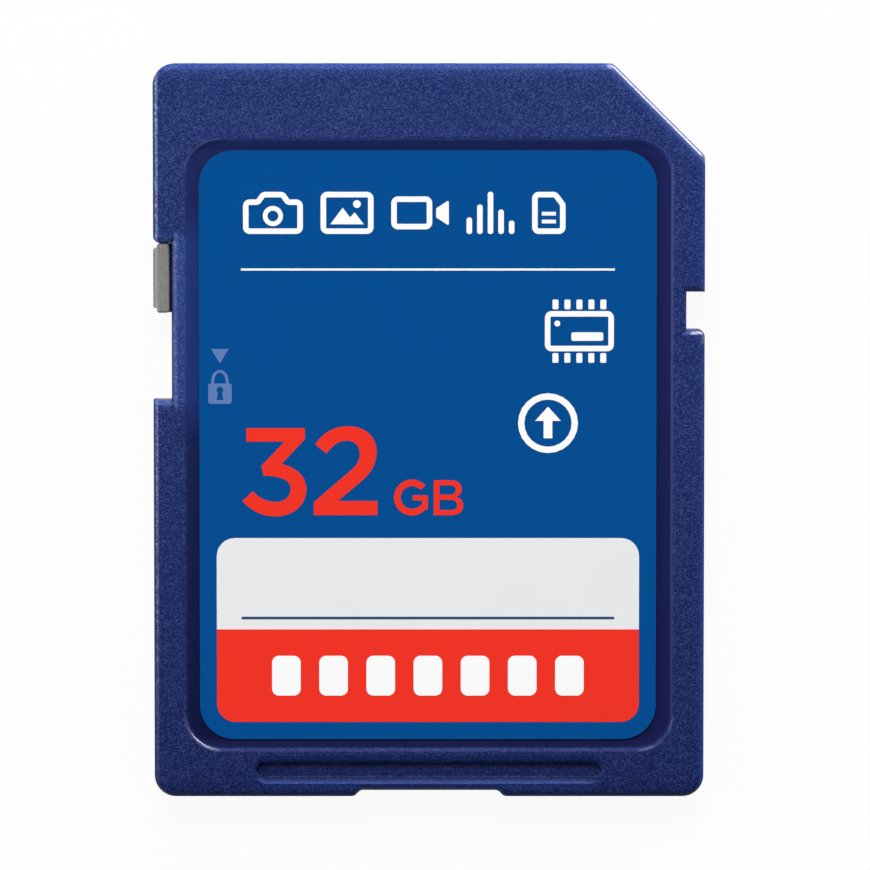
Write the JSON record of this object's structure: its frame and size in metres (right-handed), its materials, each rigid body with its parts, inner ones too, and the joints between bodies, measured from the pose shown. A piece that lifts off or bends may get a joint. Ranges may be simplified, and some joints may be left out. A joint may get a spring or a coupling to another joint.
{
  "type": "flash memory card",
  "caption": "Flat full-size flash memory card with a cut corner, label bed, finger groove, ribbed contact windows on the back and a write-lock slider in its side.",
  "frame": {"origin": "middle of the card on the plane of its back face, where it lies on a table", "axes": "+X towards the side with the cut corner, +Y along the card towards the end that enters the socket first, +Z out of the label side"},
  "size_m": [0.024, 0.032, 0.0021],
  "materials": {
    "shell_plastic": "dark blue, fine spark-eroded texture",
    "label_film": "printed satin film",
    "slider_plastic": "grey, satin",
    "board_laminate": "green solder mask",
    "contact_gold": "gold plating",
    "package_resin": "black moulded resin",
    "capacitor_body": "tan, tinned ends",
    "resistor_body": "black, tinned ends"
  },
  "bodies": {
    "card": {"front_shell": "shell_plastic", "rear_shell": "shell_plastic", "front_label": "label_film", "circuit_board": "board_laminate", "memory_chip": "package_resin", "controller_chip": "package_resin", "contact_1": "contact_gold", "contact_2": "contact_gold", "contact_3": "contact_gold", "contact_4": "contact_gold", "contact_5": "contact_gold", "contact_6": "contact_gold", "contact_7": "contact_gold", "contact_8": "contact_gold", "contact_9": "contact_gold", "capacitor_1": "capacitor_body", "capacitor_2": "capacitor_body", "capacitor_3": "capacitor_body", "capacitor_4": "capacitor_body", "capacitor_5": "capacitor_body", "resistor_1": "resistor_body", "resistor_2": "resistor_body", "resistor_3": "resistor_body", "resistor_4": "resistor_body"},
    "lock": {"lock_slider": "slider_plastic"}
  },
  "joints": [
    {"name": "lock_slide", "type": "slide", "parent": "card", "child": "lock", "axis": [0, -1, 0], "range_m": [0, 0.00375]}
  ]
}
